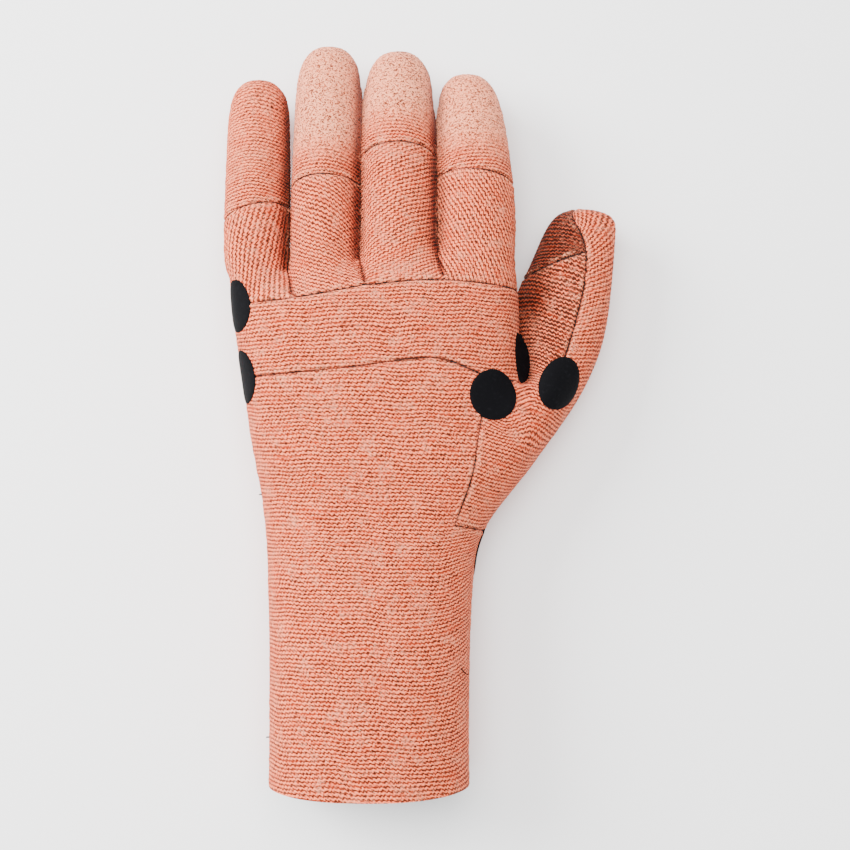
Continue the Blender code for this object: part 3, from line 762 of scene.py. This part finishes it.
def liningMaterial():
    # smooth black jersey inside the glove
    s = Shader("jersey_lining")
    uv = s.node("ShaderNodeUVMap", uv_map="knit").outputs[0]
    parts = s.node("ShaderNodeSeparateXYZ", {0: uv})
    wale = s.math("SINE", s.times(parts.outputs[0], 2 * math.pi / 0.0009))
    course = s.math("SINE", s.times(parts.outputs[1], 2 * math.pi / 0.0007))
    height = s.plus(s.times(wale, 0.35), s.times(course, 0.2))
    colour = s.ramp(s.plus(height, 0.5), [(0.0, (0.010, 0.010, 0.011)), (1.0, (0.040, 0.038, 0.040))])
    return s.finished({
        "Base Color": colour,
        "Normal": s.bump(height, 0.00012, 0.5),
        "Roughness": 0.8,
        "Sheen Weight": 0.15,
    })


patches = {
    "names": ["patch_knuckle_edge", "patch_hand_edge", "patch_thumb_root", "patch_thumb_crotch",
              "patch_thumb_seam", "patch_wrist_edge"],
    "height": 0.00055,
    "skirt": -0.00030,
    "edgeRound": 0.00022,
    "rings": 12,
    "sides": 64,
    "relax": 2,
    "relaxTaut": 60,
    "weave": 0.00055,
    "foldLimit": 50,
    "sharpEdge": 60,
    # where a square patch is dropped from and how far, and the same for a draped one, with the depth
    # at which it spans the air beside the thumb
    "squareDrop": (0.006, 0.014),
    "drapeFrom": 0.045,
    "drapeReach": 0.027,
    "drapeSpan": 0.013,
    "places": {
        "patch_hand_edge": {"shift": (-0.0012, 0, 0)},
        "patch_thumb_root": {"square": True, "shift": (0.0001, -0.0004, 0), "grow": 0.95},
        # draped from above: middle, half width, half height and tilt, and whether it spans the cleft
        "patch_thumb_seam": {"middle": (0.0526, 0.0087), "half": (0.0074, 0.0107), "tilt": -25},
        "patch_thumb_crotch": {"middle": (0.0377, 0.0186), "half": (0.0041, 0.0099), "tilt": 3,
                               "leftShare": 0.42, "taut": True},
        "patch_wrist_edge": {"shift": (0, -0.0012, 0.0030)},
    },
}


def tapeMaterial():
    s = Shader("seam_tape")
    place = s.place()
    parts = s.node("ShaderNodeSeparateXYZ", {0: place})
    turn = 2 * math.pi / patches["weave"]
    warp = s.math("SINE", s.times(parts.outputs[0], turn))
    weft = s.math("SINE", s.times(parts.outputs[1], turn))
    height = s.times(warp, weft)
    lint = s.between(s.noise(place, 700.0, 3.0), 0.55, 0.75)
    colour = s.ramp(s.plus(s.times(height, 0.5), 0.5),
                    [(0.0, (0.001, 0.001, 0.0013)), (1.0, (0.005, 0.005, 0.0062))])
    colour = s.blend(s.times(lint, 0.12), colour, (0.02, 0.02, 0.025, 1))
    return s.finished({
        "Base Color": colour,
        "Normal": s.bump(height, 0.00006, 0.5),
        "Roughness": 0.70,
        "Specular IOR Level": 0.035,
    })


def tapePatch(name, bvh, material):
    # a round of tape laid on the knit, with an edge that goes down into the plush
    packed = weldedMesh(name)

    def height(face):
        spot = face.calc_center_median()
        return (spot - bvh.find_nearest(spot)[0]).length

    groups = faceGroups(packed, patches["foldLimit"])[:2]
    top = max(groups, key=lambda g: sum(height(f) for f in g) / len(g))
    corners = {v for f in top for v in f.verts}
    middle = sum((v.co for v in corners), Vector()) / len(corners)
    axis = sum((f.normal * f.calc_area() for f in top), Vector()).normalized()
    radius = max((v.co - middle).length for v in corners)
    packed.free()
    place = patches["places"].get(name, {})
    middle = middle + Vector(place.get("shift", (0, 0, 0)))
    radius *= place.get("grow", 1.0)
    across = axis.orthogonal().normalized()
    along = axis.cross(across)
    draped = "half" in place
    if draped:
        tilt = math.radians(place["tilt"])
        axis = Vector((0, 0, 1))
        middle = Vector((*place["middle"], patches["drapeFrom"]))
        across = Vector((math.cos(tilt), math.sin(tilt), 0)) * place["half"][0] / radius
        along = Vector((-math.sin(tilt), math.cos(tilt), 0)) * place["half"][1] / radius

    def seat(spot, lift):
        if draped:
            onto = bvh.ray_cast(spot, -axis, patches["drapeReach"])
            if onto[0] is None:
                return spot - axis * patches["drapeSpan"]
        elif place.get("square"):
            above, reach = patches["squareDrop"]
            onto = bvh.ray_cast(spot + axis * above, -axis, reach)
        else:
            onto = bvh.find_nearest(spot)
        if onto[0] is None:
            onto = bvh.find_nearest(spot)
        outwards = spot - onto[0]
        if draped or place.get("square") or outwards.length < 2e-4:
            outwards = onto[1]
        elif outwards.dot(onto[1]) < 0:
            outwards = -outwards
        return onto[0] + outwards.normalized() * lift

    bm = bmesh.new()
    rings, sides = patches["rings"], patches["sides"]
    loops = []
    for ring in range(1, rings + 3):
        reach = radius * min(ring, rings) / rings
        lift = patches["height"]
        if ring >= rings:
            lift = (patches["height"] - patches["edgeRound"], 0.0, patches["skirt"])[ring - rings]
            reach += (0.0, patches["edgeRound"] * 0.4, patches["edgeRound"] * 0.3)[ring - rings]
        loop = []
        for side in range(sides):
            turn = 2 * math.pi * side / sides
            wide = math.cos(turn) * (place.get("leftShare", 1.0) if math.cos(turn) < 0 else 1.0)
            spot = middle + (across * wide + along * math.sin(turn)) * reach
            loop.append(bm.verts.new(seat(spot, lift)))
        loops.append(loop)
    centre = bm.verts.new(seat(middle, patches["height"]))
    for side in range(sides):
        after = (side + 1) % sides
        bm.faces.new((centre, loops[0][side], loops[0][after]))
        for inner, outer in zip(loops, loops[1:]):
            bm.faces.new((inner[side], outer[side], outer[after], inner[after]))
    bm.faces.new(loops[-1][::-1])
    inner = [v for loop in loops[:-3] for v in loop] + [centre]
    for _ in range(patches["relaxTaut"] if place.get("taut") else patches["relax"]):
        bmesh.ops.smooth_vert(bm, verts=inner, factor=0.5, use_axis_x=True, use_axis_y=True, use_axis_z=True)
    bmesh.ops.recalc_face_normals(bm, faces=bm.faces)
    mesh = bpy.data.meshes.new(name + "_tape")
    bm.to_mesh(mesh)
    bm.free()
    mesh.shade_smooth()
    mesh.set_sharp_from_angle(angle=math.radians(patches["sharpEdge"]))
    mesh.materials.append(material)
    return addObject(name + "_tape", mesh)


stitches = {
    "spacing": 0.0024,
    "length": 0.0017,
    "radius": 0.00016,
    "skipped": 0.42,
    "lift": 0.00005,
    "sunken": 0.6,  # share of the seam's depth
    "sizes": ((0.6, 0.7, 0.7), (1.5, 1.2, 1.2)),  # the least and the most stretch of a stitch
    "seed": 5,
}

# The sewn lines that show their thread, as the pairs of panels that meet there
shownSeams = [
    ("little_knuckle", "little_tip"), ("ring_knuckle", "ring_tip"), ("middle_knuckle", "middle_tip"),
    ("index_knuckle", "index_tip"), ("knuckle_band", "little_knuckle"), ("knuckle_band", "ring_knuckle"),
    ("knuckle_band", "middle_knuckle"), ("knuckle_band", "index_knuckle"), ("back_cuff", "knuckle_band"),
    ("back_cuff", "thumb_outer"), ("thumb_outer", "thumb_inner"), ("thumb_outer", "thumb_tip"),
    ("thumb_inner", "thumb_tip"),
]


def stitchTree():
    # short arcs of thread along each seam, with some left out at random
    tree = bpy.data.node_groups.new("seam_stitches", "GeometryNodeTree")
    face = tree.interface
    face.new_socket("Geometry", in_out="INPUT", socket_type="NodeSocketGeometry")
    for label in ("Spacing", "Length", "Radius", "Skipped"):
        socket = face.new_socket(label, in_out="INPUT", socket_type="NodeSocketFloat")
        socket.default_value = stitches[label.lower()]
    face.new_socket("Seed", in_out="INPUT", socket_type="NodeSocketInt").default_value = stitches["seed"]
    face.new_socket("Thread", in_out="INPUT", socket_type="NodeSocketMaterial")
    face.new_socket("Geometry", in_out="OUTPUT", socket_type="NodeSocketGeometry")

    def node(kind, inputs=(), **settings):
        return addNode(tree, kind, inputs, **settings)

    given = node("NodeGroupInput").outputs
    line = {"Curve": given["Geometry"], "Length": given["Spacing"]}
    spaced = node("GeometryNodeResampleCurve", line, mode="LENGTH")
    tangent = node("GeometryNodeInputTangent").outputs[0]
    aligned = node("FunctionNodeAlignRotationToVector", {"Vector": tangent}, axis="X")
    ends = []
    for share in (-0.5, 0.5):
        reach = node("ShaderNodeMath", {0: given["Length"], 1: share}, operation="MULTIPLY").outputs[0]
        ends.append(node("ShaderNodeCombineXYZ", {0: reach}).outputs[0])
    top = node("ShaderNodeCombineXYZ", {2: given["Radius"]}).outputs[0]
    arcPoints = {"Resolution": 4, "Start": ends[0], "Middle": top, "End": ends[1]}
    arc = node("GeometryNodeCurveQuadraticBezier", arcPoints).outputs[0]
    ring = node("GeometryNodeCurvePrimitiveCircle", {"Resolution": 6, "Radius": given["Radius"]}).outputs[0]
    strand = node("GeometryNodeCurveToMesh", {"Curve": arc, "Profile Curve": ring, "Fill Caps": True})
    share = node("ShaderNodeMath", {0: 1.0, 1: given["Skipped"]}, operation="SUBTRACT").outputs[0]
    kept = node("FunctionNodeRandomValue", {"Probability": share, "Seed": given["Seed"]}, data_type="BOOLEAN")
    least, most = stitches["sizes"]
    scaleInputs = {0: least, 1: most, "Seed": given["Seed"]}
    scale = node("FunctionNodeRandomValue", scaleInputs, data_type="FLOAT_VECTOR")
    placed = node("GeometryNodeInstanceOnPoints", {
        "Points": spaced.outputs[0],
        "Selection": next(o for o in kept.outputs if o.enabled),
        "Instance": strand.outputs[0],
        "Rotation": aligned.outputs[0],
        "Scale": next(o for o in scale.outputs if o.enabled),
    })
    real = node("GeometryNodeRealizeInstances", {0: placed.outputs[0]})
    coloured = node("GeometryNodeSetMaterial", {"Geometry": real.outputs[0], "Material": given["Thread"]})
    node("NodeGroupOutput", {0: coloured.outputs[0]})
    return tree


def seamPaths(skin, first, second):
    # the runs of skin corners where two panels meet, in order
    places, normals, _, panels, edges, edgeOf = skin
    names = list(panelCuts)
    sides = [set(np.unique(edgeOf[panels == names.index(n)]).tolist()) for n in (first, second)]
    quiet = quietEdges(places, edges)
    shared = [tuple(edges[e]) for e in sides[0] & sides[1] if not quiet[e]]
    around = {}
    for a, b in shared:
        around.setdefault(a, []).append(b)
        around.setdefault(b, []).append(a)
    paths = []
    left = set(around)
    while left:
        starts = sorted(v for v in left if len(around[v]) == 1) or sorted(left)
        path, here = [], starts[0]
        while here is not None:
            path.append(here)
            left.discard(here)
            following = [v for v in around[here] if v in left]
            here = following[0] if following else None
        if len(path) > 2:
            lift = stitches["lift"] - sheet["seamDepth"] * stitches["sunken"]
            paths.append(places[path] + normals[path] * lift)
    return paths


def threadMaterial():
    s = Shader("seam_thread")
    place = s.place()
    colour = s.ramp(s.noise(place, 900.0, 2.0), [(0.3, (0.004, 0.003, 0.003)), (0.7, (0.016, 0.009, 0.008))])
    return s.finished({"Base Color": colour, "Roughness": 0.8, "Specular IOR Level": 0.1})


def threadCurve(name, paths, radius=0.0):
    data = bpy.data.curves.new(name, "CURVE")
    data.dimensions = "3D"
    data.bevel_depth = radius
    data.bevel_resolution = 2
    data.use_fill_caps = radius > 0
    for path in paths:
        spline = data.splines.new("POLY")
        spline.points.add(len(path) - 1)
        for point, place in zip(spline.points, path):
            point.co = (*place, 1)
    return addObject(name, data)


def plainMesh(obj, name):
    bpy.context.view_layer.update()
    mesh = bpy.data.meshes.new_from_object(obj.evaluated_get(bpy.context.evaluated_depsgraph_get()))
    made = addObject(name, mesh)
    bpy.data.objects.remove(obj)
    return made


def seamStitches(skin, material):
    tree = stitchTree()
    paths = []
    for first, second in shownSeams:
        paths += seamPaths(skin, first, second)
    curve = threadCurve("seam_lines", paths)
    nodes = curve.modifiers.new("stitches", "NODES")
    nodes.node_group = tree
    for socket in tree.interface.items_tree:
        if socket.in_out == "INPUT" and socket.name == "Thread":
            nodes[socket.identifier] = material
    made = plainMesh(curve, "seam_stitches")
    print("stitches:", len(paths), "seams,", len(made.data.polygons), "faces")
    return made


# Loose thread ends: where they leave the knit, seen from above, and how they lie
threadTails = {
    "radius": 0.00024,
    "steps": 14,
    "dropFrom": 0.1,
    "sideHeight": 0.03,  # where an end starts that is beside the glove as seen from above
    "rootDepth": 0.0006,
    "rootLift": 0.0001,
    "clearance": 0.0003,
    "ends": {
        "hook_tail": {"place": (0.0149, -0.0992), "length": 0.0032, "heading": -55, "curl": 35},
        "short_tail_low": {"place": (-0.0597, -0.1250), "length": 0.0010, "heading": 180, "curl": 20},
        "short_tail_high": {"place": (-0.0617, -0.0335), "length": 0.0010, "heading": 180, "curl": 20},
    },
}


def looseEnd(name, tail, bvh, material):
    x, y = tail["place"]
    spot, normal = bvh.ray_cast(Vector((x, y, threadTails["dropFrom"])), Vector((0, 0, -1)))[:2]
    if spot is None:
        spot, normal = bvh.find_nearest(Vector((x, y, threadTails["sideHeight"])))[:2]
    steps, clearance = threadTails["steps"], threadTails["clearance"]
    heading = math.radians(tail["heading"])
    here = spot + normal * threadTails["rootLift"]
    path = [spot - normal * threadTails["rootDepth"], here.copy()]
    for k in range(steps):
        angle = heading + math.radians(tail["curl"]) * k / steps
        here = here + Vector((math.cos(angle), math.sin(angle), 0)) * tail["length"] / steps
        near = bvh.find_nearest(here)
        if (here - near[0]).dot(near[1]) < clearance:
            here = near[0] + near[1] * clearance
        path.append(here.copy())
    made = plainMesh(threadCurve(name, [path], threadTails["radius"]), "thread_" + name)
    made.data.materials.append(material)
    made.data.shade_smooth()
    return made


studio = {
    "target": (0.0014, -0.0065, 0.028),
    "distance": 0.600,
    "elevation": 84,
    "lens": 65.8,
    "floorColour": (0.97, 0.97, 0.97),
    "floorHalf": 3,
    "sky": 0.80,
    # each light: place, size in metres, watts
    "lights": {
        "left_softbox": ((-1.00, 0.40, 0.75), 0.8, 42.0),
        "top_softbox": ((-0.05, 0.15, 1.30), 1.0, 34.0),
    },
}


def buildStudio():
    target = Vector(studio["target"])
    rise = math.radians(studio["elevation"])
    away = Vector((0, -math.cos(rise), math.sin(rise))) * studio["distance"]
    camera = addObject("camera", bpy.data.cameras.new("camera"))
    camera.location = target + away
    camera.rotation_euler = away.to_track_quat("Z", "Y").to_euler()
    camera.data.lens = studio["lens"]
    camera.data.sensor_width = 36
    bpy.context.scene.camera = camera
    for name, (place, size, power) in studio["lights"].items():
        light = addObject(name, bpy.data.lights.new(name, "AREA"))
        light.location = place
        light.rotation_euler = (Vector(place) - target).to_track_quat("Z", "Y").to_euler()
        light.data.size = size
        light.data.energy = power
    world = bpy.data.worlds.new("studio")
    bpy.context.scene.world = world
    world.use_nodes = True
    background = world.node_tree.nodes["Background"]
    background.inputs[0].default_value = (1, 1, 1, 1)
    background.inputs[1].default_value = studio["sky"]
    bm = bmesh.new()
    bmesh.ops.create_grid(bm, x_segments=1, y_segments=1, size=studio["floorHalf"])
    mesh = bpy.data.meshes.new("floor")
    bm.to_mesh(mesh)
    bm.free()
    floor = addObject("floor", mesh)
    paper = Shader("paper").finished({"Base Color": (*studio["floorColour"], 1), "Roughness": 0.9})
    mesh.materials.append(paper)


def dressGlove():
    fine = sewnSkin()
    places, normals, quads, panels = skinArrays(fine)
    bvh = BVHTree.FromPolygons(places.tolist(), quads.tolist())
    edges, edgeOf = edgeTable(quads)
    skin = (places, normals, quads, panels, edges, edgeOf)
    patterns = {}
    for number, name in enumerate(panelCuts):
        used = np.unique(quads[panels == number])
        flat = flatPattern(name, places, normals, quads[panels == number], used)
        patterns[name] = (used, flat)
        print(name, "lies flat in", (np.ptp(flat, axis=0) * 1000).round().astype(int).tolist(), "mm")
    print("flat patterns ready")
    cuts = cutsPerEdge(edges, edgeOf, panels, patterns)
    sides = np.bincount(edgeOf.reshape(-1), minlength=len(edges))
    low, high = np.full(len(edges), 99), np.full(len(edges), -1)
    np.minimum.at(low, edgeOf.reshape(-1), np.repeat(panels, 4))
    np.maximum.at(high, edgeOf.reshape(-1), np.repeat(panels, 4))
    # two knuckle panels meet deep between the fingers, without a line that shows
    knuckles = [number for number, name in enumerate(panelCuts) if name.endswith("_knuckle")]
    quiet = quietEdges(places, edges)
    quiet |= np.isin(low, knuckles) & np.isin(high, knuckles) & (low != high)
    tree = seamTree(places, edges, np.flatnonzero((low != high) & ~quiet))
    trees = fingerTrees(places, quads, panels)
    foam, lining = foamMaterial(), liningMaterial()
    knits = {}
    for number, (name, cut) in enumerate(panelCuts.items()):
        piece = panelPiece(number, name, skin, patterns, cuts, tree, (sides == 1) | quiet, trees)
        pitch = cut["pitch"]
        if pitch not in knits:
            knits[pitch] = knitMaterial(f"knit_{pitch * 100000:.0f}", pitch)
        for material in (knits[pitch], lining, foam):
            piece.data.materials.append(material)
        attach(piece, "root")
        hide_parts(name)
    print("panels done")
    tape = tapeMaterial()
    for name in patches["names"]:
        piece = tapePatch(name, bvh, tape)
        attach(piece, "root")
        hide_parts(name)
    thread = threadMaterial()
    sewn = seamStitches(skin, thread)
    pieces = [sewn] + [looseEnd(n, t, bvh, thread) for n, t in threadTails["ends"].items()]
    for piece in pieces:
        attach(piece, "root")
    print("patches and threads done")


dressGlove()
buildStudio()
